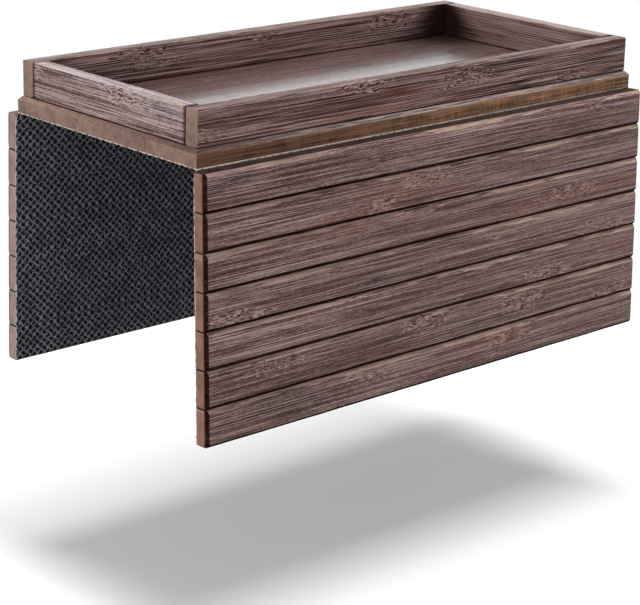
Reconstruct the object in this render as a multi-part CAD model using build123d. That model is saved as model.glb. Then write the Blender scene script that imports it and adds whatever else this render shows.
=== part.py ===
from build123d import *
import os

# Sofa arm tray: a shallow bamboo tray with a roll-up row of slats hanging from each long side.
# The tray rests on the arm of a sofa and the two rows of slats hang down over its sides.
# Frame: +X along the slats, +Y across the arm towards the back row, +Z up.
# Origin: centre of the face that rests on the arm, which is the underside of the backing cloth.
# Units are millimetres and degrees.

# Base panel, which is also the floor of the tray
panel_length = 319.0
panel_width = 152.0
panel_thickness = 9.0
panel_chamfer = 2.0

# Rails that stand on the panel and make the wall of the tray
rail_inset = 2.2
rail_height = 19.5
rail_thickness = 9.0
rail_edge_chamfer = 0.5

# Wood screws, driven up through the panel into the rails, hidden by the backing cloth
screw_diameter = 3.0
screw_length = 22.0
screw_head_diameter = 5.6
screw_head_height = 1.8
screw_point_length = 4.0
screw_sink = 0.2
screw_play = 0.05
screw_corner_distance = 24.0
long_rail_screws = 3
end_rail_screws = 2

# Backing cloth, one sheet in the real tray, which is bonded to the panel and to every slat
backing_thickness = 0.5
backing_hem_margin = 0.8

# Slats, which butt edge to edge when a row hangs straight
slats_per_side = 7
slat_overhang = 1.5
slat_width = 19.8
slat_thickness = 8.5
slat_chamfer = 1.5
slat_gap = 0.2
top_fold_gap = 1.2

# Each row hangs with a slight outward splay
rest_splay_degrees = 1.5

# How far a cutting solid runs past the face that it opens
cut_overrun = 1.0

# Worked out from the sizes above
panel_bottom = backing_thickness
panel_top = panel_bottom + panel_thickness
rail_span_x = panel_length - 2 * rail_inset
rail_span_y = panel_width - 2 * rail_inset
end_rail_length = rail_span_y - 2 * rail_thickness
long_rail_y = rail_span_y / 2 - rail_thickness / 2
end_rail_x = rail_span_x / 2 - rail_thickness / 2
slat_length = panel_length + 2 * slat_overhang
slat_pitch = slat_width + slat_gap
fold_line_y = panel_width / 2 - backing_thickness
first_slat_drop = top_fold_gap - backing_thickness


def slat_top(index):
    """Height of a slat's upper edge below the top fold line, with the first slat as index 1."""
    return -first_slat_drop - (index - 1) * slat_pitch


def slat_bottom(index):
    """Height of a slat's lower edge below the top fold line."""
    return slat_top(index) - slat_width


def hung(side, piece):
    """Place a piece drawn in the row's own frame: origin on the top fold line, +Y outwards."""
    turn = Rot(0, 0, 0) if side > 0 else Rot(0, 0, 180)
    return Pos(0, side * fold_line_y, 0) * turn * Rot(rest_splay_degrees, 0, 0) * piece


def spread(count, half_span):
    """Evenly spaced places from -half_span to +half_span."""
    return [half_span * (2 * step / (count - 1) - 1) for step in range(count)]


def screw_places():
    """Where the screws stand: a row under each long rail and a row under each end rail."""
    long_half_span = rail_span_x / 2 - screw_corner_distance
    end_half_span = end_rail_length / 2 - screw_corner_distance
    places = []
    for side in (-1, 1):
        for x in spread(long_rail_screws, long_half_span):
            places.append((x, side * long_rail_y))
        for y in spread(end_rail_screws, end_half_span):
            places.append((side * end_rail_x, y))
    return places


def screw_shape(play, length, sink):
    """Countersunk screw standing on its head, larger by play, its cone carried on down by sink."""
    head_radius = screw_head_diameter / 2 + play
    shank_radius = screw_diameter / 2 + play
    flare = (head_radius - shank_radius) / screw_head_height
    outline = Polyline(
        (0, -sink),
        (head_radius + flare * sink, -sink),
        (shank_radius, screw_head_height),
        (shank_radius, length - screw_point_length),
        (0, length),
        close=True,
    )
    return revolve(Plane.XZ * make_face(outline), Axis.Z)


def screw_seats():
    """Countersunk holes for all the screws, cut from the underside of the panel upwards."""
    hole = screw_shape(screw_play, screw_length + screw_play, screw_sink + cut_overrun)
    return [Pos(x, y, panel_bottom + screw_sink) * hole for x, y in screw_places()]


def rail_screws():
    screw = screw_shape(0, screw_length, 0)
    return Compound([Pos(x, y, panel_bottom + screw_sink) * screw for x, y in screw_places()])


def base_panel():
    """Laminated panel with a chamfer round its upper edge."""
    board = Pos(0, 0, panel_bottom + panel_thickness / 2) * Box(panel_length, panel_width, panel_thickness)
    board = chamfer(board.faces().sort_by(Axis.Z)[-1].edges(), panel_chamfer)
    return board - screw_seats()


def rail(length, thickness):
    """Rail standing on the panel at the origin, with its two long upper edges eased."""
    bar = Pos(0, 0, panel_top + rail_height / 2) * Box(length, thickness, rail_height)
    upper_edges = bar.faces().sort_by(Axis.Z)[-1].edges().filter_by(Axis.X)
    return chamfer(upper_edges, rail_edge_chamfer)


def long_rail(side):
    """Full-length rail, whose ends show at the corners of the tray."""
    return Pos(0, side * long_rail_y, 0) * rail(rail_span_x, rail_thickness) - screw_seats()


def end_rail(side):
    """Short rail, butted between the two long ones."""
    return Pos(side * end_rail_x, 0, 0) * Rot(0, 0, 90) * rail(end_rail_length, rail_thickness) - screw_seats()


def centre_backing():
    """Cloth under the panel, from one fold line to the other, whose underside is the resting face."""
    return Pos(0, 0, backing_thickness / 2) * Box(panel_length, 2 * fold_line_y, backing_thickness)


def slat(side, index):
    """Slat with all four edges of its outer face chamfered and a plain inner face."""
    middle_y = backing_thickness + slat_thickness / 2
    middle_z = (slat_top(index) + slat_bottom(index)) / 2
    bar = Pos(0, middle_y, middle_z) * Box(slat_length, slat_thickness, slat_width)
    outer_face = bar.faces().sort_by(Axis.Y)[-1]
    return hung(side, chamfer(outer_face.edges(), slat_chamfer))


def slat_backing(side, index):
    """Cloth on the inner face of one slat. The last strip stops short of the slat's lower edge."""
    hem_margin = backing_hem_margin if index == slats_per_side else 0
    upper = slat_top(index)
    lower = slat_bottom(index) + hem_margin
    strip = Box(panel_length, backing_thickness, upper - lower)
    return hung(side, Pos(0, backing_thickness / 2, (upper + lower) / 2) * strip)


def make_nodes():
    nodes = {
        "base_panel": base_panel(),
        "rail_front": long_rail(-1),
        "rail_back": long_rail(1),
        "rail_left": end_rail(-1),
        "rail_right": end_rail(1),
        "rail_screws": rail_screws(),
        "backing_centre": centre_backing(),
    }
    for row, side in (("front", -1), ("back", 1)):
        for index in range(1, slats_per_side + 1):
            nodes[f"{row}_slat_{index}"] = slat(side, index)
            nodes[f"{row}_backing_{index}"] = slat_backing(side, index)
    return nodes


os.makedirs("parts", exist_ok=True)
for name, solid in make_nodes().items():
    export_step(solid, f"parts/{name}.step")
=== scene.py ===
"""Sofa arm tray: a shallow bamboo tray with two roll-up rows of slats on a backing cloth.

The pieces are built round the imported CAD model, in metres and in its frame:
+X along the slats, +Y across the arm towards the back row, +Z up, origin in the middle of the resting face.
"""
import math

import bpy
import numpy as np
from mathutils import Matrix


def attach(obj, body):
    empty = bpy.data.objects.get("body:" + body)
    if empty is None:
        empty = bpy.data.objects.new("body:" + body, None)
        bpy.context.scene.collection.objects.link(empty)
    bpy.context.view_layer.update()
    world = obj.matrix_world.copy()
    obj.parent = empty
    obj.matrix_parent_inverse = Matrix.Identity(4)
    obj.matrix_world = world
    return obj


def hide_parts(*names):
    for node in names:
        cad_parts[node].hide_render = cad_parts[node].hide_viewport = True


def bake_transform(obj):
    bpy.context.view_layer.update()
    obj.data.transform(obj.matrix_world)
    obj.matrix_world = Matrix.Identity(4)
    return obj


bl_info = {
    "name": "Sofa Arm Tray",
    "version": (1, 0, 0),
    "blender": (4, 5, 0),
    "location": "View3D > Sidebar > Arm Tray",
    "description": "Builds the pieces, finishes and studio of a bamboo sofa arm tray",
    "category": "Object",
}

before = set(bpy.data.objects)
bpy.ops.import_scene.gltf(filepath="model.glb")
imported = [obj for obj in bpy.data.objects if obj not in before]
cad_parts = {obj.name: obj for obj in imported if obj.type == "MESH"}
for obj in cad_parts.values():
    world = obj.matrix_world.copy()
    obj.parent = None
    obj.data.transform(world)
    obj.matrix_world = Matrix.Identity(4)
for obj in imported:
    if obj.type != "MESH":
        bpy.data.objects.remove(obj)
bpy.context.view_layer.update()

MM = 0.001
ROWS = (("front", -1), ("back", 1))
RIGHT_ANGLES = [0, np.pi / 2, np.pi, 3 * np.pi / 2]

# Bars of wood: distance between rings, longest wave of their unevenness, and how far in the inner ring of an end lies
STATION_SPACING = 2.6 * MM
LONGEST_WAVE = 190 * MM
END_INSET = 0.25 * MM

# Share of charring and painted shade from which a face of a bar takes the dark unglossed finish, and the tones of the
# slats from the top down
SAWN_AND_SHADED_SHARE = 0.55
SLAT_TONES = (-0.03, 0.04, 0.09, 0.08, 0.10, -0.07, 0.03)

# Cloth: grid rows behind a slat and over the top fold, grid points in one repeat of the pressed pattern,
# depth of its dashes, unevenness of its cut edge, clearance to the wood, and length over which it widens past the fold
ROWS_PER_SLAT = 26
ROWS_OVER_TOP = 20
REPEAT = 6
PRESSED = 0.26 * MM
RAGGED = 0.12 * MM
BOND_GAP = 0.01 * MM
WIDENING = 4 * MM

# Places in millimetres from a fold at which the cloth bends: over the panel's edge, and between two slats
TOP_BENDS = (-1.0, -0.6, -0.36, -0.18, 0.0, 0.18, 0.36, 0.6, 1.0)
INNER_BENDS = (-0.9, -0.45, 0.0, 0.45, 0.9)

# Object names of the finishes
SLAT_WOOD = "stained_slat"
# Unglossed dark sides: charred saw cuts, and painted shade in the grooves between slats
SAWN_AND_SHADED_SIDE = "scorched_saw_cut"
RAIL_WOOD = "stained_rail"
LIT_LEFT_RAIL = "bleached_rail"
PANEL_FLOOR = "satin_floor"
PANEL_SIDE = "panel_ply_edge"
PANEL_END = "panel_end_grain"
RAIL_END = "rail_end_grain"
SLAT_END = "slat_end_grain"
BACK_SLAT_END = "slat_end_grain_greyer"
CLOTH_FACE = "pressed_cloth"
CLOTH_BACK = "pale_cloth_back"
CLOTH_CUT = "pale_cloth_cut_edge"
SCREW_STEEL = "plated_steel"

# Spacing of the joints in a sawn end that has none
NO_JOINTS = 50.0


# Settings a user would change

class TraySizes(bpy.types.PropertyGroup):
    """Lengths of the wooden pieces and the cloth."""

    def length(title, text, value):
        return bpy.props.FloatProperty(
            name=title, description=text, default=value, min=0, precision=5, subtype="DISTANCE", unit="LENGTH"
        )

    panel_length: length("Panel length", "Length of the base panel", 319 * MM)
    panel_width: length("Panel width", "Width of the base panel across the arm", 152 * MM)
    panel_thickness: length("Panel thickness", "Thickness of the base panel", 9 * MM)
    panel_chamfer: length("Panel chamfer", "Chamfer round the panel's upper edge", 2 * MM)
    rail_inset: length("Rail inset", "How far the rails stand in from the panel's edge", 2.2 * MM)
    rail_height: length("Rail height", "Height of the rails above the panel", 19.5 * MM)
    rail_thickness: length("Rail thickness", "Thickness of the rails", 9 * MM)
    rail_easing: length("Rail easing", "Rounding of the rails' upper edges", 0.7 * MM)
    slat_length: length("Slat length", "Length of each slat", 322 * MM)
    slat_width: length("Slat width", "Width of each slat down the row", 19.8 * MM)
    slat_thickness: length("Slat thickness", "Thickness of each slat", 8.5 * MM)
    slat_chamfer: length("Slat chamfer", "Chamfer round a slat's outer face", 1.5 * MM)
    slat_end_run: length("Slat end run", "How far along a slat the chamfer at its ends runs", 1.2 * MM)
    slat_end_fall: length("Slat end fall", "How deep the chamfer at the ends of a slat's outer face goes", 2.3 * MM)
    slat_pitch: length("Slat pitch", "Distance from one slat to the next", 20 * MM)
    first_slat_drop: length("First slat drop", "Height from the fold line down to the first slat", 0.7 * MM)
    cloth_thickness: length("Cloth thickness", "Thickness of the backing cloth", 0.5 * MM)
    hem_margin: length("Hem margin", "How far the cloth stops short of the last slat's edge", 0.8 * MM)
    fold_radius: length("Fold radius", "Radius inside the cloth's fold at the panel's edge", 0.4 * MM)
    edge_radius: length("Edge radius", "Rounding of sawn wooden edges", 0.28 * MM)
    joint_gap: length("Joint gap", "Dark line left where an end rail meets a long rail", 0.25 * MM)
    splay: bpy.props.FloatProperty(
        name="Splay", description="Outward lean of each row at rest", default=math.radians(1.5),
        subtype="ANGLE", unit="ROTATION"
    )
    slats_per_row: bpy.props.IntProperty(
        name="Slats per row", description="Number of slats on each side", default=7, min=1
    )


class TrayFinish(bpy.types.PropertyGroup):
    """Colours of the stained bamboo, the cloth and the screws."""

    def colour(title, text, value):
        return bpy.props.FloatVectorProperty(
            name=title, description=text, default=value, size=3, min=0, max=1, subtype="COLOR"
        )

    wood_dark: colour("Dark fibres", "Darkest fibres of the carbonized bamboo", (0.020, 0.011, 0.011))
    wood_middle: colour("Middle fibres", "Usual tone of the bamboo", (0.113, 0.068, 0.064))
    wood_light: colour("Light fibres", "Palest fibres of the bamboo", (0.35, 0.255, 0.24))
    # Painted light: palest fibres of the paler copy of the rail wood for the left rail, which faces the left softbox
    wood_lit_left: colour("Bleached fibres", "Palest fibres of the left rail", (0.43, 0.345, 0.34))
    wood_red: colour("Red fibres", "Reddish tone at the bamboo's knuckles", (0.19, 0.075, 0.043))
    # Tan of eased and upper edges: partly wear, partly painted highlight
    edge_wear_and_highlight: colour("Worn edges", "Tan wood that shows on eased edges", (0.42, 0.295, 0.24))
    # Almost black of charred saw cuts, also used as painted shade in the grooves between slats and inside the tray's
    # corners
    scorch_and_shade: colour("Scorched wood", "Almost black wood of sawn chamfers and corners", (0.013, 0.0042, 0.0024))
    panel_end: colour("Panel's end", "Tan of the panel's sawn end", (0.195, 0.119, 0.095))
    rail_end: colour("Rails' ends", "Plain tan of the rails' sawn ends", (0.190, 0.127, 0.098))
    slat_end: colour("Slats' ends", "Reddish tan of the slats' sawn ends", (0.190, 0.098, 0.069))
    back_slat_end: colour("Back slat end", "Sawn ends of the back row, greyer and lighter", (0.265, 0.190, 0.160))
    ply_dark: colour("Dark core", "Reddish brown of the panel's edge at its left", (0.078, 0.034, 0.020))
    ply_light: colour("Light core", "Ochre of the panel's edge towards its right", (0.155, 0.080, 0.042))
    cloth_base: colour("Cloth", "Charcoal of the backing cloth", (0.102, 0.100, 0.117))
    cloth_thread: colour("Raised cloth", "Lighter ridges between the pressed dashes", (0.48, 0.475, 0.53))
    cloth_pressed: colour("Pressed dashes", "Black of the dashes pressed into the cloth", (0.004, 0.004, 0.006))
    cloth_shadow: colour("Bare cloth", "Dark ground of the cloth's back and cut edge", (0.035, 0.03, 0.028))
    cloth_edge: colour("Cut edge", "Pale back and cut edge of the cloth", (0.84, 0.70, 0.60))
    steel_bloom: colour("Steel bloom", "Yellowish bloom on the screws' zinc", (0.48, 0.42, 0.27))
    steel: colour("Screw steel", "Zinc-plated steel of the hidden screws", (0.56, 0.55, 0.52))


class StudioLook(bpy.types.PropertyGroup):
    """Light, floor and camera of the product picture."""

    def power(title, text, value):
        return bpy.props.FloatProperty(name=title, description=text, default=value, min=0, unit="POWER")

    floor_drop: bpy.props.FloatProperty(
        name="Floor drop", description="Height from the resting face down to the studio floor",
        default=0.250, min=0, subtype="DISTANCE", unit="LENGTH"
    )
    surroundings: bpy.props.FloatProperty(
        name="Surroundings", description="Brightness of the pale room round the tray", default=0.24, min=0
    )
    overhead_box: power("Overhead softbox", "Power of the long softbox over the tray", 84)
    front_box: power("Front softbox", "Power of the softbox before the front row", 15)
    left_box: power("Left softbox", "Power of the softbox at the left end", 25)
    rear_box: power("Rear softbox", "Power of the softbox behind that the tray's satin floor mirrors", 5.5)


# Meshes from whole arrays

def new_piece(name, points, corners, counts, finishes, finish_of_face=None, values=None):
    """Mesh object from its points (n, 3), the corners of all its faces in one row, and each face's corner count.

    values are named numbers or vectors for every point, for the finishes to read.
    """
    mesh = bpy.data.meshes.new(name)
    mesh.vertices.add(len(points))
    mesh.vertices.foreach_set("co", np.ascontiguousarray(points, np.float32).ravel())
    mesh.loops.add(len(corners))
    mesh.loops.foreach_set("vertex_index", np.ascontiguousarray(corners, np.int32))
    mesh.polygons.add(len(counts))
    starts = np.concatenate(([0], np.cumsum(counts)[:-1]))
    mesh.polygons.foreach_set("loop_start", starts.astype(np.int32))
    for material in finishes:
        mesh.materials.append(bpy.data.materials[material])
    if finish_of_face is not None:
        mesh.polygons.foreach_set("material_index", np.ascontiguousarray(finish_of_face, np.int32))
    mesh.polygons.foreach_set("use_smooth", np.full(len(counts), True))
    mesh.update(calc_edges=True)
    mesh.validate()
    for key, value in (values or {}).items():
        value = np.asarray(value, np.float32)
        if value.ndim == 2:
            mesh.attributes.new(key, "FLOAT_VECTOR", "POINT").data.foreach_set("vector", value.ravel())
        else:
            mesh.attributes.new(key, "FLOAT", "POINT").data.foreach_set("value", value)
    piece = bpy.data.objects.new(name, mesh)
    bpy.context.scene.collection.objects.link(piece)
    return piece


def flat_shaded_sides(piece):
    """Lets each large flat face keep its own direction, so that only the narrow roundings catch light."""
    finish = piece.modifiers.new("flat faces first", "WEIGHTED_NORMAL")
    finish.weight = 100
    finish.keep_sharp = True


def rounded_outline(angles, limits, radii, steps, closed=True):
    """Outline of flat sides joined by arcs.

    Side k is the line whose outward direction has the angle angles[k] and which lies limits[..., k] out.
    Each corner is where sides k and k + 1 cross after both move in by the corner's radius,
    plus radius * (cos a, sin a) for angles a from one side's direction to the next one's.
    Gives points (..., corners * steps, 2).
    """
    angles = np.asarray(angles, float)
    radii = np.asarray(radii, float)
    here = np.arange(len(angles) if closed else len(angles) - 1)
    following = (here + 1) % len(angles)
    first = angles[here]
    last = angles[following] + np.where(following > here, 0, 2 * np.pi)
    reach_first = limits[..., here] - radii
    reach_last = limits[..., following] - radii
    cross = np.sin(last - first)
    centre_u = (reach_first * np.sin(last) - reach_last * np.sin(first)) / cross
    centre_v = (reach_last * np.cos(first) - reach_first * np.cos(last)) / cross
    share = np.linspace(0, 1, steps)
    sweep = first[:, None] + (last - first)[:, None] * share
    u = centre_u[..., None] + radii[:, None] * np.cos(sweep)
    v = centre_v[..., None] + radii[:, None] * np.sin(sweep)
    return np.stack([u, v], -1).reshape(*limits.shape[:-1], len(here) * steps, 2)


def outline_values(side_values, steps, rounding_value=0.0, closed=True):
    """Number for each point of a rounded outline.

    Each arc goes evenly from its first side's number to the next side's, plus rounding_value * sin(pi * share).
    """
    side_values = np.asarray(side_values, float)
    here = np.arange(len(side_values) if closed else len(side_values) - 1)
    following = (here + 1) % len(side_values)
    share = np.linspace(0, 1, steps)
    value = side_values[here, None] * (1 - share) + side_values[following, None] * share
    value = value + np.broadcast_to(rounding_value, len(here))[:, None] * np.sin(np.pi * share)
    return value.ravel().clip(0, 1)


def skin(rings):
    """Closed skin over rings (m, n, 3): quads between neighbours and one flat face on each end ring.

    Corners of the quad at ring i and step j: (i, j), (i, j + 1), (i + 1, j + 1), (i + 1, j).
    """
    m, n = rings.shape[:2]
    ring, step = np.meshgrid(np.arange(m - 1), np.arange(n), indexing="ij")
    following = (step + 1) % n
    quads = np.stack([ring * n + step, ring * n + following, (ring + 1) * n + following, (ring + 1) * n + step], -1)
    corners = np.concatenate([quads.reshape(-1), np.arange(n)[::-1], (m - 1) * n + np.arange(n)])
    counts = np.concatenate([np.full((m - 1) * n, 4), [n, n]])
    return rings.reshape(-1, 3), corners, counts


def waver(along, rng, size):
    """Slow unevenness of hand-sanded wood: the mean of cosines of falling wavelength, between -size and 0."""
    waves = LONGEST_WAVE / np.array([1, 1.7, 2.9, 4.7, 8.3])
    phases = rng.uniform(0, 2 * np.pi, len(waves))
    total = np.cos(2 * np.pi * along[:, None] / waves + phases).mean(-1)
    return -size * (0.5 + 0.5 * total)


def bar_stations(length, radius, end_band):
    """Places along a bar from end to end, close together at its ends, and how far the section moves in there.

    Within the end rounding, at radius * (1 - sin a) from the end, the section moves in by radius * (1 - cos a).
    """
    arc = np.linspace(0, np.pi / 2, 5)
    rounding = radius * (1 - np.sin(arc[::-1]))
    band = radius + (end_band - radius) * np.array([0.12, 0.35, 0.6, 0.82, 1.0, 1.2, 1.6]) if end_band > 0 else []
    start = np.concatenate([rounding, band])
    first = start[-1] + STATION_SPACING
    inner = np.linspace(first, length - first, int(round((length - 2 * first) / STATION_SPACING)) + 1)
    distance = np.concatenate([start, inner, (length - start)[::-1]])
    nearest = np.minimum(distance, length - distance).clip(0)
    gone = (radius - nearest).clip(0)
    moved_in = radius - np.sqrt((radius ** 2 - gone ** 2).clip(0))
    return distance - length / 2, moved_in, nearest


def grain_place(points, along, across, depth, piece_number):
    """Place that the bamboo finish reads: along the grain, across it and into the wood, shifted for each piece."""
    order = points[:, [along, across, depth]]
    return order + np.array([0.371, 0.113, 0.237]) * (piece_number + 1)


# Node trees

NUMBER, VECTOR, COLOUR = "NodeSocketFloat", "NodeSocketVector", "NodeSocketColor"


class Wire:
    """Output of a node. Sums, differences, products and quotients of wires and numbers add Math nodes."""

    def __init__(self, tree, socket):
        self.tree = tree
        self.socket = socket

    def __add__(self, other):
        return self.tree.maths("ADD", self, other)

    def __sub__(self, other):
        return self.tree.maths("SUBTRACT", self, other)

    def __mul__(self, other):
        return self.tree.maths("MULTIPLY", self, other)

    def __truediv__(self, other):
        return self.tree.maths("DIVIDE", self, other)

    def __abs__(self):
        return self.tree.maths("ABSOLUTE", self)


class Tree:
    """Short way to add nodes to one node tree and to join them."""

    def __init__(self, tree):
        self.tree = tree

    def feed(self, node, inputs):
        """Links each wire to the node's input of that name or number, and sets each plain value on it."""
        for key, value in inputs.items():
            socket = node.inputs[key]
            if isinstance(value, Wire):
                self.tree.links.new(value.socket, socket)
            else:
                socket.default_value = (*value, 1.0) if socket.type == "RGBA" else value

    def add(self, kind, inputs=None, **settings):
        node = self.tree.nodes.new(kind)
        for key, value in settings.items():
            setattr(node, key, value)
        self.feed(node, inputs or {})
        return node

    def wire(self, kind, inputs=None, output=0, **settings):
        return Wire(self, self.add(kind, inputs, **settings).outputs[output])

    def maths(self, operation, a, b=0.0, clamp=False):
        return self.wire("ShaderNodeMath", {0: a, 1: b}, operation=operation, use_clamp=clamp)

    def vector(self, operation, a, b=(0.0, 0.0, 0.0)):
        output = "Value" if operation == "LENGTH" else "Vector"
        return self.wire("ShaderNodeVectorMath", {0: a, 1: b}, output, operation=operation)

    def stretched(self, place, scales):
        return self.vector("MULTIPLY", place, scales)

    def join(self, *numbers):
        return self.wire("ShaderNodeCombineXYZ", dict(enumerate(numbers)))

    def split(self, vector):
        return [Wire(self, socket) for socket in self.add("ShaderNodeSeparateXYZ", {0: vector}).outputs]

    def noise(self, place, scale=1.0, detail=2.0, roughness=0.5, output="Fac"):
        """Cloudy noise about 0.5. A scale of three numbers stretches the place by them."""
        if isinstance(scale, tuple):
            place, scale = self.stretched(place, scale), 1.0
        inputs = {"Vector": place, "Scale": scale, "Detail": detail, "Roughness": roughness}
        return self.wire("ShaderNodeTexNoise", inputs, output)

    def sway(self, place, scale, detail):
        """Vector noise about zero."""
        return self.vector("SUBTRACT", self.noise(place, scale, detail, output="Color"), (0.5, 0.5, 0.5))

    def cells(self, place, output, randomness=1.0):
        return self.wire("ShaderNodeTexVoronoi", {"Vector": place, "Scale": 1.0, "Randomness": randomness}, output)

    def ramp(self, value, low, high, to_low=0.0, to_high=1.0, smooth=True):
        """Goes from to_low where the value is low to to_high where it is high, and stays level beyond."""
        return self.wire("ShaderNodeMapRange", {
            "Value": value, "From Min": low, "From Max": high, "To Min": to_low, "To Max": to_high,
        }, interpolation_type="SMOOTHSTEP" if smooth else "LINEAR")

    def mix(self, share, a, b, blend="MIX"):
        return self.wire("ShaderNodeMix", {0: share, 6: a, 7: b}, 2, data_type="RGBA", blend_type=blend)

    def mix_value(self, share, a, b):
        return self.wire("ShaderNodeMix", {0: share, 2: a, 3: b}, data_type="FLOAT")

    def shaded(self, colour, value):
        """Colour times a grey of this value."""
        grey = self.wire("ShaderNodeCombineColor", {0: value, 1: value, 2: value})
        return self.mix(1.0, colour, grey, "MULTIPLY")

    def attribute(self, name, output="Fac"):
        return self.wire("ShaderNodeAttribute", output=output, attribute_name=name)

    def object_place(self):
        return self.wire("ShaderNodeTexCoord", output="Object")

    def group(self, name, inputs):
        """Uses a node group; gives its outputs by name."""
        node = self.add("ShaderNodeGroup", inputs, node_tree=bpy.data.node_groups[name])
        return {socket.name: Wire(self, socket) for socket in node.outputs}

    def seen_directly(self):
        """1 for the rays of the camera, of glosses and of clear surfaces, and the wire for the camera's alone."""
        path = self.add("ShaderNodeLightPath").outputs
        camera, gloss, clear = (Wire(self, path[f"Is {kind} Ray"]) for kind in ("Camera", "Glossy", "Transmission"))
        return self.maths("MAXIMUM", self.maths("MAXIMUM", camera, gloss), clear), camera


def new_group(name, inputs, outputs):
    """Empty node group. An input's value is its kind, or for a number its default.

    Gives its tree, its incoming wires by name and the node that takes the results.
    """
    group = bpy.data.node_groups.new(name, "ShaderNodeTree")
    for title, value in inputs.items():
        is_kind = isinstance(value, str)
        socket = group.interface.new_socket(name=title, in_out="INPUT", socket_type=value if is_kind else NUMBER)
        if not is_kind:
            socket.default_value = value
    for title, kind in outputs.items():
        group.interface.new_socket(name=title, in_out="OUTPUT", socket_type=kind)
    tree = Tree(group)
    entry = tree.add("NodeGroupInput")
    return tree, {title: Wire(tree, entry.outputs[title]) for title in inputs}, tree.add("NodeGroupOutput")


def build_bamboo_grain():
    """Stained bamboo: long fibres in three widths, thin pale threads, and knuckles where the fibres curl.

    Place is along the grain, across it and into the wood, in metres.
    """
    tree, entry, leave = new_group("bamboo_grain", {
        "Place": VECTOR, "Tone": 0.0, "Contrast": 1.0, "Knuckles": 1.0, "Grit": 1.0,
        "Dark": COLOUR, "Middle": COLOUR, "Light": COLOUR, "Red": COLOUR,
    }, {"Color": COLOUR, "Shade": NUMBER, "Height": NUMBER})
    sway = (tree.noise(entry["Place"], (9, 60, 60)) - 0.5) * 0.0011
    place = tree.vector("ADD", entry["Place"], tree.join(0.0, sway, sway))

    # Knuckles: one in each long cell of a stretched cell pattern, where the wood's face cuts near its middle
    cell = (0.115, 0.021, 0.021)
    in_cells = tree.stretched(place, tuple(1 / side for side in cell))
    middle = tree.cells(in_cells, "Position", 0.95)
    offset = tree.stretched(tree.vector("SUBTRACT", in_cells, middle), cell)
    ruffle = (tree.noise(place, (70, 420, 420), 3.0, 0.65) - 0.5) * 3.0

    def ruffled_spot(offset, radii, outside, inside):
        """1 within an ellipsoid of these radii in metres, by the distance from its middle in radii."""
        away = tree.vector("LENGTH", tree.stretched(offset, tuple(1 / radius for radius in radii)))
        return tree.maths("MULTIPLY", tree.ramp(away + ruffle, outside, inside), entry["Knuckles"], clamp=True)

    knuckle = ruffled_spot(offset, (0.021, 0.0052, 0.0085), 1.2, 0.55)
    bruise = ruffled_spot(tree.vector("ADD", offset, (0.004, 0.0, 0.0)), (0.007, 0.004, 0.0055), 1.1, 0.4)

    # Fibres, curled where there is a knuckle
    curl = tree.stretched(tree.sway(place, (150, 330, 330), 3.0), (0.010, 0.0020, 0.0020))
    place = tree.vector("ADD", place, tree.vector("MULTIPLY", curl, tree.join(knuckle, knuckle, knuckle)))
    bands = tree.noise(place, (5, 280, 280))
    streaks = tree.noise(place, (8, 2300, 2300), 1.0)
    fibres = tree.noise(place, (30, 3400, 3400), 1.0, 0.6)
    grit = tree.noise(place, (420, 2600, 2600), 1.0, 0.6)
    pores = tree.noise(place, (120, 3000, 3000), 1.0)
    flecks = tree.noise(place, (260, 1500, 1500), 2.0, 0.7)
    threads = tree.noise(place, (9, 3000, 3000), 1.0)

    shade = (bands - 0.5) * 0.8
    for layer, depth in ((streaks, 3.2), (fibres, 2.6), (grit, entry["Grit"] * 1.4)):
        shade = shade + (layer - 0.5) * depth
    shade = (shade - tree.ramp(pores, 0.56, 0.72, 0.0, 0.55) * entry["Grit"]) * entry["Contrast"]
    curly = (flecks - 0.48) * (entry["Contrast"] * 9.0)
    shade = tree.mix_value(knuckle * 0.92, shade, curly) - bruise * 0.22
    shade = shade + tree.ramp(threads, 0.60, 0.68) * 0.55 + 0.5 + entry["Tone"] * 0.5

    colour = tree.mix(tree.ramp(shade, 0.0, 0.5, smooth=False), entry["Dark"], entry["Middle"])
    colour = tree.mix(tree.ramp(shade, 0.5, 1.15, smooth=False), colour, entry["Light"])
    warm = tree.ramp(tree.noise(place, (12, 800, 800)), 0.46, 0.72, 0.0, 0.27)
    warm = warm + tree.ramp(tree.noise(place, (7, 30, 30), 1.0), 0.50, 0.70, 0.0, 0.14)
    warm = tree.maths("ADD", warm, knuckle * tree.ramp(flecks, 0.45, 0.65, 0.0, 0.2), clamp=True)
    tree.feed(leave, {
        "Color": tree.mix(warm, colour, entry["Red"]), "Shade": shade,
        "Height": streaks * 0.5 + fibres * 0.5 + knuckle * flecks * 0.8,
    })


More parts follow.
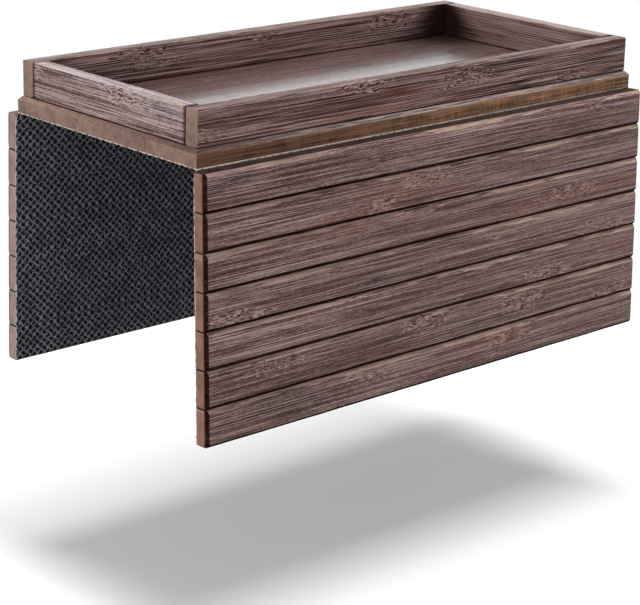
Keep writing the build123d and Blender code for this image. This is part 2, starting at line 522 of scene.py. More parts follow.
def build_wood_wear_and_painted_light():
    """Marks on the wood's edges: tan on eased and upper edges, partly rubbing and partly painted highlight, and almost
    black on charred saw cuts and, as painted shade, in the grooves between slats.

    Rim is the distance in metres down from a piece's upper edge: tan patches of uneven width hang from it, partly
    rubbing and partly painted highlight.
    """
    tree, entry, leave = new_group("wood_wear_and_painted_light", {
        "Place": VECTOR, "Color": COLOUR, "Wear and Highlight": 0.0, "Burn and Shade": 0.0, "Rim": 1.0,
        "Worn Color": COLOUR, "Burnt Color": COLOUR,
    }, {"Color": COLOUR, "Burn and Shade": NUMBER})
    place = entry["Place"]
    patch = tree.noise(place, (13, 0, 0))
    ragged = tree.noise(place, (55, 900, 900), 2.0, 0.6)
    reach = tree.ramp(patch, 0.42, 0.68, 0.0004, 0.0034) + (ragged - 0.5) * 0.0035
    hanging = tree.ramp(entry["Rim"] - reach, 0.0005, -0.0004)
    patchy_wear_and_highlight = tree.ramp(patch * 0.45 + ragged * 0.55, 0.47, 0.54)
    wear_and_highlight = tree.maths("MAXIMUM", entry["Wear and Highlight"] * patchy_wear_and_highlight, hanging * 0.42)
    fine = tree.noise(place, (70, 2300, 2300))
    wear_and_highlight = tree.maths("MULTIPLY", wear_and_highlight, tree.ramp(fine, 0.3, 0.6, 0.3, 1.0), clamp=True)
    soot = tree.noise(place, (120, 500, 500), 3.0)
    burn_and_shade = tree.maths("MULTIPLY", entry["Burn and Shade"], tree.ramp(soot, 0.2, 0.6, 0.82, 1.0), clamp=True)
    colour = tree.mix(wear_and_highlight, entry["Color"], entry["Worn Color"])
    tree.feed(leave, {"Color": tree.mix(burn_and_shade, colour, entry["Burnt Color"]), "Burn and Shade": burn_and_shade})


def build_painted_corner_shade():
    """Painted shade inside the tray's corners, darkest in the far right one.

    Distance in plan from the inner corner at (Half Length, Half Width), for places inside the tray only.
    """
    tree, entry, leave = new_group("painted_corner_shade", {
        "Half Length": 0.1483, "Half Width": 0.0648, "Floor": 0.0095, "Wall": 0.0195, "Reach": 0.052,
    }, {"Mask": NUMBER})
    place = tree.object_place()
    x, y, z = tree.split(place)
    from_x = entry["Half Length"] - abs(x)
    from_y = entry["Half Width"] - abs(y)
    distance = tree.vector("LENGTH", tree.join(from_x, from_y)) + (tree.noise(place, 60.0) - 0.5) * 0.01
    reach = entry["Reach"] * tree.ramp(z - entry["Floor"], 0.0, entry["Wall"], 1.0, 0.42, smooth=False)
    near = tree.ramp(distance / reach, 1.0, 0.22)
    inside = tree.ramp(from_x, -0.0006, -0.0003) * tree.ramp(from_y, -0.0006, -0.0003)
    far_right = tree.ramp(x, 0.05, 0.10) * tree.ramp(y, 0.0, 0.04)
    tree.feed(leave, {"Mask": tree.maths("MULTIPLY", near * inside, far_right * 0.55 + 0.43, clamp=True)})


def build_end_grain():
    """Sawn bamboo end: plain tan with fine darker bundles and faint joints between the strips."""
    tree, entry, leave = new_group("sawn_end", {
        "Place": VECTOR, "Color": COLOUR, "Joint Spacing": 0.02,
    }, {"Color": COLOUR, "Height": NUMBER})
    place = entry["Place"]
    dots = tree.ramp(tree.cells(tree.stretched(place, (40, 1500, 1500)), "Distance"), 0.05, 0.42)
    cloud = tree.noise(place, (60, 130, 130), 3.0)
    smear = tree.noise(place, (60, 260, 1500))
    strip = tree.split(place)[1] / entry["Joint Spacing"]
    joint = tree.ramp(abs(tree.maths("FRACT", strip) - 0.5) * entry["Joint Spacing"], 0.0005, 0.0001)
    tint = tree.ramp(cloud, 0.3, 0.7, 0.72, 1.12) + dots * 0.16 + tree.ramp(smear, 0.3, 0.7, -0.16, 0.14)
    tree.feed(leave, {"Color": tree.shaded(entry["Color"], tint - joint * 0.45), "Height": dots + smear})


def build_cross_emboss():
    """Non-woven cloth with short dashes pressed into it, leaning left and right by turns.

    One repeat of the pattern is one unit of the map. Along each dash a = (p + q) / sqrt 2 and across it
    b = (p - q) / sqrt 2, measured from the dash's middle, and the other dash sits half a repeat away, mirrored.
    """
    tree, entry, leave = new_group("cross_emboss", {"Map": VECTOR}, {"Dash": NUMBER, "Thread": NUMBER})
    wander = tree.stretched(tree.sway(entry["Map"], 1.9, 3.0), (0.34, 0.34, 0.0))
    place = tree.vector("ADD", entry["Map"], wander)
    u, v = tree.split(place)[:2]
    dashes = []
    ridges = []
    for lean, shift in ((1, 0.5), (-1, 0.0)):
        moved = tree.vector("FRACTION", tree.vector("ADD", place, (shift, shift, 0.0)))
        p, q = (part - 0.5 for part in tree.split(moved)[:2])
        q = q * lean
        dashes.append(tree.ramp(abs(p + q), 0.52, 0.38) * tree.ramp(abs(p - q), 0.235, 0.11))
        line = tree.maths("FRACT", u + v * lean + 0.5)
        ridges.append(tree.ramp(abs(line - 0.5), 0.24, 0.47))
    tree.feed(leave, {"Dash": tree.maths("MAXIMUM", *dashes), "Thread": tree.maths("MAXIMUM", *ridges)})


def new_material(name):
    """Material with a plain Principled shader; gives its tree and that shader."""
    material = bpy.data.materials.new(name)
    material.use_nodes = True
    shader = next(node for node in material.node_tree.nodes if node.type == "BSDF_PRINCIPLED")
    return Tree(material.node_tree), shader


def lay_finish(tree, shader, colour, roughness, gloss, height, relief):
    """Feeds a shader its colour, roughness and specular level, and a bump of a relief in metres."""
    normal = tree.wire("ShaderNodeBump", {"Height": height, "Distance": relief, "Strength": 1.0})
    tree.feed(shader, {"Base Color": colour, "Roughness": roughness, "Specular IOR Level": gloss, "Normal": normal})


def add_wear_and_painted_light(tree, finish, place, colour):
    """Adds the rubbed tan with its painted highlight, and the charring with its painted shade, that the piece's own
    attributes ask for.
    """
    return tree.group("wood_wear_and_painted_light", {
        "Place": place, "Color": colour, "Wear and Highlight": tree.attribute("wear_and_highlight"), "Burn and Shade": tree.attribute("burn_and_shade"),
        "Rim": tree.attribute("rim"), "Worn Color": finish.edge_wear_and_highlight, "Burnt Color": finish.scorch_and_shade,
    })


def build_wood(name, finish, contrast, knuckles=1.0, roughness=(0.42, 0.60), coat=(0.0, 0.3, 1.5), corner=False,
               relief=0.00012, gloss=0.13, light=None, grit=1.0):
    """Stained bamboo face: grain, edges rubbed tan and partly lit by painted highlight, charred saw cuts, and painted
    shade in the grooves between slats and inside the tray's corners.

    coat is the weight, roughness and refraction of its varnish.
    """
    tree, shader = new_material(name)
    place = tree.attribute("grain", "Vector")
    grain = tree.group("bamboo_grain", {
        "Place": place, "Tone": tree.attribute("tone"), "Contrast": tree.attribute("contrast") * contrast,
        "Knuckles": knuckles, "Grit": grit, "Dark": finish.wood_dark, "Middle": finish.wood_middle,
        "Light": light or finish.wood_light, "Red": finish.wood_red,
    })
    wear_and_painted_light = add_wear_and_painted_light(tree, finish, place, grain["Color"])
    colour = wear_and_painted_light["Color"]
    rough = tree.ramp(grain["Shade"], 0.0, 1.0, roughness[1], roughness[0])
    rough = tree.mix_value(wear_and_painted_light["Burn and Shade"], rough, 1.0)
    # Painted shade inside the tray's corners
    if corner:
        corner_shade = tree.group("painted_corner_shade", {})["Mask"]
        colour = tree.mix(corner_shade, colour, finish.scorch_and_shade)
        rough = tree.mix_value(corner_shade, rough, 0.9)
    lay_finish(tree, shader, colour, rough, gloss, grain["Height"], relief)
    tree.feed(shader, {"Coat Roughness": coat[1], "Coat IOR": coat[2]})
    if coat[0] > 0:
        tree.feed(shader, {"Coat Weight": tree.mix_value(wear_and_painted_light["Burn and Shade"], coat[0], 0.0)})


def build_end(name, finish, colour, joint_spacing):
    """Sawn end of a piece of bamboo."""
    tree, shader = new_material(name)
    place = tree.attribute("grain", "Vector")
    end = tree.group("sawn_end", {"Place": place, "Color": colour, "Joint Spacing": joint_spacing})
    wear_and_painted_light = add_wear_and_painted_light(tree, finish, place, end["Color"])
    lay_finish(tree, shader, wear_and_painted_light["Color"], 0.62, 0.25, end["Height"], 0.00008)


def build_ply_edge(name, finish):
    """Edge of the laminated panel: fine upright cross grain in orange-brown, ochre towards the right end."""
    tree, shader = new_material(name)
    place = tree.object_place()
    x, _, z = tree.split(place)
    hatch = tree.noise(place, (1300, 200, 160), 3.0, 0.6)
    blocks = tree.noise(place, (110, 60, 60))
    drift = tree.noise(place, (11, 8, 8))
    layers = tree.noise(place, (30, 700, 1500))
    ochre = tree.ramp(x + drift * 0.16, -0.08, 0.15)
    hatching = tree.mix_value(ochre, tree.ramp(hatch, 0.3, 0.7, 0.8, 1.15), tree.ramp(hatch, 0.3, 0.7, 0.66, 1.26))
    value = hatching + tree.ramp(blocks, 0.3, 0.7, -0.2, 0.2) + tree.ramp(layers, 0.3, 0.7, -0.5, 0.5)
    for glue_line in (0.0025, 0.0053):
        line = tree.ramp(abs(z - glue_line), 0.0009, 0.0002)
        value = value - line * tree.ramp(drift, 0.35, 0.6, 0.35, 0.1)
    value = value + tree.ramp(z, 0.0060, 0.0075, 0.0, 0.3)
    core = tree.mix(ochre, finish.ply_dark, finish.ply_light)
    wear_and_painted_light = add_wear_and_painted_light(tree, finish, tree.attribute("grain", "Vector"), tree.shaded(core, value))
    lay_finish(tree, shader, wear_and_painted_light["Color"], 0.6, 0.2, hatch, 0.00015)


def build_cloth(finish):
    """Charcoal cloth with pressed black dashes, and its pale back and cut edge."""
    tree, shader = new_material(CLOTH_FACE)
    place = tree.wire("ShaderNodeUVMap", uv_map="weave")
    emboss = tree.group("cross_emboss", {"Map": place})
    fuzz = tree.noise(place, 9.0, 4.0, 0.75)
    patches = tree.noise(place, 0.35, 3.0)
    glint = tree.noise(place, 2.2, 2.0, 0.6)
    lift = emboss["Thread"] * tree.ramp(fuzz, 0.36, 0.62, 0.15, 1.0) * tree.ramp(glint, 0.35, 0.62, 0.2, 1.0)
    colour = tree.mix(tree.ramp(fuzz, 0.35, 0.70), finish.cloth_pressed, finish.cloth_base)
    colour = tree.mix(lift, colour, finish.cloth_thread)
    colour = tree.mix(tree.ramp(patches, 0.4, 0.7, 0.0, 0.3), colour, finish.cloth_pressed)
    colour = tree.mix(emboss["Dash"] * 0.97, colour, finish.cloth_pressed)
    height = fuzz * 0.35 - emboss["Dash"] + emboss["Thread"] * 0.25
    lay_finish(tree, shader, colour, 0.85, 0.05, height, 0.00016)

    for name in (CLOTH_BACK, CLOTH_CUT):
        tree, shader = new_material(name)
        place = tree.object_place()
        fuzz = tree.noise(place, 2600.0, 3.0, 0.7)
        bare = tree.ramp(tree.noise(place, 420.0), 0.62, 0.46, 0.15, 1.0)
        if name == CLOTH_BACK:
            pale = tree.attribute("pale")
            bare = tree.maths("MAXIMUM", bare, tree.ramp(pale, 0.6, 0.85)) * pale
        colour = tree.mix(tree.ramp(fuzz, 0.2, 0.55) * bare, finish.cloth_shadow, finish.cloth_edge)
        lay_finish(tree, shader, colour, 0.9, 0.2, fuzz, 0.0001)


def build_steel(finish):
    """Zinc-plated steel with faint turning marks and a yellowish bloom."""
    tree, shader = new_material(SCREW_STEEL)
    place = tree.object_place()
    turned = tree.noise(place, (300, 300, 6000))
    bloom = tree.noise(place, 500.0)
    colour = tree.mix(tree.ramp(bloom, 0.4, 0.7, 0.0, 0.5), finish.steel, finish.steel_bloom)
    lay_finish(tree, shader, colour, tree.ramp(turned, 0.3, 0.7, 0.24, 0.42), 0.5, turned, 0.00003)
    tree.feed(shader, {"Metallic": 1.0})


# Operators, one for each kind of piece

class ARMTRAY_OT_finishes(bpy.types.Operator):
    """Makes the stained bamboo, cloth and steel finishes"""

    bl_idname = "armtray.finishes"
    bl_label = "Make finishes"

    def execute(self, context):
        finish = context.scene.tray_finish
        build_bamboo_grain()
        build_wood_wear_and_painted_light()
        build_painted_corner_shade()
        build_end_grain()
        build_cross_emboss()
        build_wood(SLAT_WOOD, finish, contrast=0.76)
        build_wood(SAWN_AND_SHADED_SIDE, finish, contrast=0.76, gloss=0.0)
        build_wood(RAIL_WOOD, finish, contrast=1.1, corner=True, grit=0.35, gloss=0.05)
        # Paler copy of the rail wood for the left rail: painted light
        build_wood(LIT_LEFT_RAIL, finish, contrast=1.25, corner=True, grit=0.8, light=finish.wood_lit_left)
        build_wood(PANEL_FLOOR, finish, contrast=0.5, knuckles=0.5, roughness=(0.40, 0.5), coat=(1.0, 0.26, 1.65),
                   corner=True, relief=0.00004)
        build_ply_edge(PANEL_SIDE, finish)
        build_end(PANEL_END, finish, finish.panel_end, 0.052)
        build_end(RAIL_END, finish, finish.rail_end, NO_JOINTS)
        build_end(SLAT_END, finish, finish.slat_end, NO_JOINTS)
        build_end(BACK_SLAT_END, finish, finish.back_slat_end, NO_JOINTS)
        build_cloth(finish)
        build_steel(finish)
        return {"FINISHED"}


def wooden_bar(name, angles, half_sizes, radii, side_wear_and_highlight, side_burn_and_shade, length, rng, number, tone, finishes, place,
               end_band=0.0, end_fall=0.0, uneven=0.06 * MM, corner_wear_and_highlight=0.75, corner_burn_and_shade=0.0, highlight_drift=(1.0, 1.0),
               shade_drift=(0.0, 0.0), burn_and_shade_drift=(1.0, 1.0), end_burn=(1.0, 1.0), contrast_drift=(1.0, 1.0),
               rim=True, butted=False):
    """Bar of wood along X: a rounded outline in Y and Z carried along it, with rounded ends.

    Its sides waver inwards a little. Over end_band from each end, side 0 of a six-sided outline falls back evenly by
    end_fall. Tan edges, partly rubbed and partly painted highlight, and dark edges, charred and painted shade in the
    grooves, are given for each side and each corner, and the drifts for its two ends, -X first; the drifts of the
    highlight and of the tone paint light and shade along the bar. Finishes are those of its faces, its ends and its
    dark unglossed sides. place turns and moves the finished points.
    """
    steps = 4
    radius = bpy.context.scene.tray_sizes.edge_radius
    x, moved_in, nearest = bar_stations(length, radius, end_band)
    # One more ring inside each end face, so that the marks of the edges stay at the edges
    x = np.concatenate([x[:1], x, x[-1:]])
    moved_in = np.concatenate([moved_in[:1] + END_INSET, moved_in, moved_in[-1:] + END_INSET])
    nearest = np.concatenate([[0], nearest, [0]])
    limits = np.tile(np.asarray(half_sizes, float), (len(x), 1))
    for side, size in enumerate(np.broadcast_to(uneven, limits.shape[1])):
        limits[:, side] += waver(x, rng, size)
    if end_band > 0:
        limits[:, 0] -= (end_band - nearest).clip(0) * end_fall / end_band
        # The slopes beside it give way too, so that its edges stay within the narrow sides
        for slope, narrow in ((1, 2), (-1, -2)):
            furthest = limits[:, 0] + limits[:, narrow] - 0.6 * (radii[0] + moved_in)
            limits[:, slope] = np.minimum(limits[:, slope], furthest / math.sqrt(2))
    limits -= moved_in[:, None]
    outline = rounded_outline(angles, limits, radii, steps)
    rings = np.concatenate([np.broadcast_to(x[:, None, None], (*outline.shape[:2], 1)), outline], -1)
    points, corners, counts = skin(rings)

    def drift(ends, reach=length / 2):
        """Goes evenly from one number at -reach to the other at reach, for each ring."""
        return np.interp(x, [-reach, reach], ends)[:, None]

    wear_and_highlight = outline_values(side_wear_and_highlight, steps, corner_wear_and_highlight) * drift(highlight_drift)
    burn_and_shade = outline_values(side_burn_and_shade, steps, corner_burn_and_shade) * drift(burn_and_shade_drift)
    if end_band > 0:
        band = np.interp(nearest, np.array([0, 0.15, 1.1, 1.35]) * end_band, [0.5, 1, 1, 0])
        band = band[:, None] * drift(end_burn, length / 4) * outline_values([1, 1, 0, 0, 0, 1], steps)
        burn_and_shade = np.maximum(burn_and_shade, band)
        wear_and_highlight = wear_and_highlight * (1 - band)
    if butted:
        in_joint = nearest[:, None] < 2.2 * radius
        burn_and_shade = np.where(in_joint, 1.0, burn_and_shade)
    else:
        on_end_edge = nearest[:, None] < 0.9 * radius
        wear_and_highlight = np.maximum(wear_and_highlight, np.where(on_end_edge, 0.35, 0.0))
    wear_and_highlight[[0, -1]] = 0
    burn_and_shade[[0, -1]] = 0
    near_end = nearest < 0.5 * radius
    in_end = (near_end[:-1] | near_end[1:])[:, None]
    # Each face counts by the mean charring and painted shade of its four corners
    beside = burn_and_shade + np.roll(burn_and_shade, -1, 1)
    sawn = (beside[:-1] + beside[1:]) / 4 > SAWN_AND_SHADED_SHARE
    finish_of_face = np.concatenate([np.where(in_end, 1, np.where(sawn, 2, 0)).ravel(), [1, 1]])
    marks = {"wear_and_highlight": wear_and_highlight, "burn_and_shade": burn_and_shade, "tone": tone + drift(shade_drift), "contrast": drift(contrast_drift)}
    values = {key: np.broadcast_to(mark, burn_and_shade.shape).ravel() for key, mark in marks.items()}
    values["grain"] = grain_place(points, 0, 2, 1, number)
    values["rim"] = points[:, 2].max() - points[:, 2] if rim else np.ones(len(points))
    points = points @ np.array(place.to_3x3()).T + np.array(place.translation)
    piece = new_piece(name, points, corners, counts, finishes, finish_of_face, values)
    flat_shaded_sides(piece)
    return piece


class ARMTRAY_OT_base_panel(bpy.types.Operator):
    """Builds the laminated base panel with its satin floor and chamfered upper edge"""

    bl_idname = "armtray.base_panel"
    bl_label = "Build base panel"

    def execute(self, context):
        sizes = context.scene.tray_sizes
        half_length = sizes.panel_length / 2
        half_width = sizes.panel_width / 2
        thick = sizes.panel_thickness
        chamfer = sizes.panel_chamfer
        radius = sizes.edge_radius
        steps = 5
        # Rise of the edge: underside, upright side, chamfer and floor, as an open outline of inset against height
        rise = rounded_outline(
            [-np.pi / 2, 0, np.pi / 4, np.pi / 2], np.array([0, 0, (thick - chamfer) / math.sqrt(2), thick]),
            [radius, radius * 1.5, radius * 1.5], steps, closed=False,
        )
        limits = np.array([half_length, half_width, half_length, half_width]) + rise[:, :1]
        outline = rounded_outline(RIGHT_ANGLES, limits, [0.5 * MM] * 4, steps)
        height = sizes.cloth_thickness + rise[:, 1]
        rings = np.concatenate([outline, np.broadcast_to(height[:, None, None], (*outline.shape[:2], 1))], -1)
        points, corners, counts = skin(rings)
        # Finishes: 0 floor, chamfer and underside, 1 long sides, 2 ends
        upright = rise[:-1, 1] < thick - chamfer - radius * 0.3
        middle = (outline[:-1] + np.roll(outline[:-1], -1, 1)) / 2
        at_end = half_length - np.abs(middle[..., 0]) < half_width - np.abs(middle[..., 1])
        finish_of_face = np.where(at_end, 2, np.where(upright[:, None], 1, 0))
        finish_of_face = np.concatenate([finish_of_face.reshape(-1), [0, 0]])
        # The ledge in front of the rails is darker towards its left end: values below 0 count as none
        x, y = outline[0].T
        scorch_and_shade = np.where(y < 0, np.where(x < 0, 0.72, -1.1), 0.0)
        lower_edge = outline_values([0.5, 0, 0, 0], steps, closed=False)
        ledge = outline_values([0, 0, 1, 0], steps, closed=False)
        values = {
            "grain": grain_place(points, 0, 1, 2, 0),
            "tone": np.full(len(points), -0.5),
            # Wear on the chamfer is partly painted highlight
            "wear_and_highlight": np.repeat(outline_values([0, 0, 0.45, 0], steps, 0.35, closed=False), len(x)),
            "burn_and_shade": (lower_edge[:, None] + ledge[:, None] * scorch_and_shade).reshape(-1),
            "rim": np.ones(len(points)),
            "contrast": np.ones(len(points)),
        }
        panel = new_piece("base_panel_wood", points, corners, counts, [PANEL_FLOOR, PANEL_SIDE, PANEL_END],
                          finish_of_face, values)
        flat_shaded_sides(panel)
        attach(panel, "tray")
        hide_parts("base_panel")
        return {"FINISHED"}


class ARMTRAY_OT_rails(bpy.types.Operator):
    """Builds the two long rails and the two end rails between them"""

    bl_idname = "armtray.rails"
    bl_label = "Build rails"

    def execute(self, context):
        sizes = context.scene.tray_sizes
        span_x = sizes.panel_length - 2 * sizes.rail_inset
        span_y = sizes.panel_width - 2 * sizes.rail_inset
        middle_z = sizes.cloth_thickness + sizes.panel_thickness + sizes.rail_height / 2
        half_y = sizes.rail_thickness / 2
        half_z = sizes.rail_height / 2
        end_length = span_y - 2 * sizes.rail_thickness - 2 * sizes.joint_gap
        long_y = span_y / 2 - half_y
        end_x = span_x / 2 - half_y
        # Name, length, place in plan, turn about Z, tone and number; the tones are painted light and shade, lighter
        # for the left and right rails, whose seen faces turn to the left softbox, and darker for the front one
        plans = (
            ("front", span_x, (0, -long_y), 0, -0.40, 1),
            ("back", span_x, (0, long_y), math.pi, -0.04, 2),
            ("left", end_length, (-end_x, 0), -math.pi / 2, 0.48, 3),
            ("right", end_length, (end_x, 0), math.pi / 2, 0.75, 4),
        )
        easing = [sizes.rail_easing] * 2 + [3.2 * sizes.edge_radius] * 2
        for name, length, (x, y), turn, tone, number in plans:
            # Painted light: the left rail takes a paler, more contrasty copy of the rail wood
            wood = LIT_LEFT_RAIL if name == "left" else RAIL_WOOD
            place = Matrix.Translation((x, y, middle_z)) @ Matrix.Rotation(turn, 4, "Z")
            # Wear on the rails' tops is partly painted highlight
            rail = wooden_bar(
                f"rail_{name}_wood", RIGHT_ANGLES, [half_y, half_z, half_y, half_z], easing,
                [0, 0.22, 0, 0], [0, 0, 0, 1], length, np.random.default_rng(100 + number), number, tone,
                [wood, RAIL_END, SAWN_AND_SHADED_SIDE], place, corner_burn_and_shade=[0, 0, 1, 1], rim=False,
                butted=name in ("left", "right"),
            )
            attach(rail, "tray")
            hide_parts(f"rail_{name}")
        return {"FINISHED"}


class ARMTRAY_OT_rail_screws(bpy.types.Operator):
    """Gives the hidden screws under the panel their steel"""

    bl_idname = "armtray.rail_screws"
    bl_label = "Finish screws"

    def execute(self, context):
        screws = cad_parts["rail_screws"]
        screws.data.materials.clear()
        screws.data.materials.append(bpy.data.materials[SCREW_STEEL])
        return {"FINISHED"}


def top_fold():
    """The fold at the panel's edge: its distance from the middle line, its angle and how far its arc reaches."""
    sizes = bpy.context.scene.tray_sizes
    bend = math.pi / 2 - sizes.splay
    return sizes.panel_width / 2 - sizes.cloth_thickness, bend, sizes.fold_radius * math.tan(bend / 2)


def row_place(side):
    """Turn and move from a row's own frame, with its origin on the fold line and +Y outwards, to the tray's."""
    turn = Matrix.Identity(4) if side > 0 else Matrix.Rotation(math.pi, 4, "Z")
    splay = Matrix.Rotation(bpy.context.scene.tray_sizes.splay, 4, "X")
    return Matrix.Translation((0, side * top_fold()[0], 0)) @ turn @ splay


class ARMTRAY_OT_slats(bpy.types.Operator):
    """Builds the slats of both rows, each with a chamfered outer face"""

    bl_idname = "armtray.slats"
    bl_label = "Build slats"

    def execute(self, context):
        sizes = context.scene.tray_sizes
        half_y = sizes.slat_thickness / 2
        half_z = sizes.slat_width / 2
        radius = sizes.edge_radius
        slope = (half_y + half_z - sizes.slat_chamfer) / math.sqrt(2)
        # Sides: outer face, upper slope, upper edge, inner face, lower edge, lower slope
        angles = np.array([0, 1, 2, 4, 6, 7]) * np.pi / 4
        half_sizes = [half_y, slope, half_z, half_y, half_z, slope]
        uneven = np.array([0.06, 0.45, 0.08, 0, 0.08, 0.35]) * MM
        for row, side in ROWS:
            end = SLAT_END if side < 0 else BACK_SLAT_END
            for index in range(1, sizes.slats_per_row + 1):
                number = 10 + index + (20 if side > 0 else 0)
                top = -sizes.first_slat_drop - (index - 1) * sizes.slat_pitch
                # Painted shade on each slat's top edge, in the gap under the piece above it; the top edge of the back
                # row's first slat shows, and gets less
                top_shade = 0.35 if side > 0 and index == 1 else 0.9
                place = row_place(side) @ Matrix.Translation((0, sizes.cloth_thickness + half_y, top - half_z))
                # The drifts go from the tray's left end to its right one, so a front slat takes them the other way
                # Painted shade: the dark top edge, lower edge and lower slope in the grooves between slats; painted
                # highlight: the tan upper slope
                slat = wooden_bar(
                    f"{row}_slat_{index}_wood", angles, half_sizes, [radius] * 5 + [2 * radius],
                    [0, 0.8, 0.1, 0, 0, 0], [0, 0, top_shade, 0, 1, 1], sizes.slat_length,
                    np.random.default_rng(number), number, SLAT_TONES[(index - 1) % len(SLAT_TONES)],
                    [SLAT_WOOD, end, SAWN_AND_SHADED_SIDE], place,
                    end_band=sizes.slat_end_run, end_fall=sizes.slat_end_fall, uneven=uneven,
                    corner_wear_and_highlight=[0.7, 0.4, 0, 0, 0, 0], corner_burn_and_shade=[0, 0, 0, 0, 0, 0.5],
                    # Painted highlight: the tan upper slope grows towards the tray's right end; painted shade: the
                    # tone falls towards the tray's left end
                    highlight_drift=(0.4, 1.35)[::side], shade_drift=(-0.22, 0.03)[::side],
                    burn_and_shade_drift=(1.0, 0.9)[::side], end_burn=(1.0, 0.3)[::side], contrast_drift=(1.1, 0.75)[::side],
                )
                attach(slat, f"{row}_row_{index}")
                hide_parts(f"{row}_slat_{index}")
        return {"FINISHED"}


def cloth_line(distance):
    """Free face of the cloth, by distance along it from the panel's middle line, for the row on the +Y side.

    Level out to the fold, then an arc of the fold's radius through 90 degrees less the splay, then straight
    down the slats. Gives y, z and the angle of the direction towards the bonded side.
    """
    radius = bpy.context.scene.tray_sizes.fold_radius
    fold_y, bend, tangent = top_fold()
    level = fold_y - tangent
    turned = ((distance - level) / radius).clip(0, bend)
    past = (distance - level - radius * bend).clip(0)
    facing = math.pi / 2 - turned
    y = np.minimum(distance, level) + radius * np.cos(facing) + past * np.sin(facing)
    z = -radius + radius * np.sin(facing) - past * np.cos(facing)
    return y, z, facing


def pressed_depth(column, row):
    """How deep each grid point is pressed: 1 in the middle of a dash and 0.6 at its ends.

    The pattern repeats every 6 points. One dash runs through points (-1, -1), (0, 0) and (1, 1),
    the other through (2, 4), (3, 3) and (4, 2).
    """
    depth = np.zeros(np.broadcast(column, row).shape)
    half = REPEAT // 2
    for lean, middle in ((1, 0), (-1, half)):
        across = (column - middle + half) % REPEAT - half
        down = (row - middle + half) % REPEAT - half
        on_dash = (across == lean * down) & (np.abs(across) <= 1)
        depth = np.where(on_dash, np.where(across == 0, 1.0, 0.6), depth)
    return depth


def face_triangles(index, column, row):
    """Two triangles for each cell of a grid of point numbers.

    Cells that a dash crosses are split along that dash, and the others lean by turns.
    """
    a, b = index[:-1, :-1], index[:-1, 1:]
    c, d = index[1:, 1:], index[1:, :-1]
    column, row = np.meshgrid(column[:-1] % REPEAT, row[:-1] % REPEAT)
    leans_right = ((column + 1) % REPEAT <= 1) & ((row + 1) % REPEAT <= 1)
    leans_left = ((column == 2) & (row == 3)) | ((column == 3) & (row == 2))
    split = (leans_right | ((column + row) % 2 == 0) & ~leans_left)[..., None]
    first = np.where(split, np.stack([a, c, b], -1), np.stack([a, d, b], -1)).reshape(-1, 3)
    second = np.where(split, np.stack([a, d, c], -1), np.stack([b, d, c], -1)).reshape(-1, 3)
    return np.concatenate([first, second])


def back_loops(index, bends):
    """Corners of each long face of the cloth's back, from one row where it bends to the next.

    index holds the point numbers of the back, whose points lie at its two sides and on its first and last rows.
    """
    stops = [0, *bends, len(index) - 1]
    loops = []
    for upper, lower in zip(stops[:-1], stops[1:]):
        left, right = index[upper:lower + 1, [0, -1]].T
        top = index[upper, 1:-1] if upper == 0 else []
        bottom = index[lower, 1:-1] if lower == stops[-1] else []
        loops.append(np.concatenate([left, bottom, right[::-1], top[::-1]]).astype(int)[::-1])
    return loops


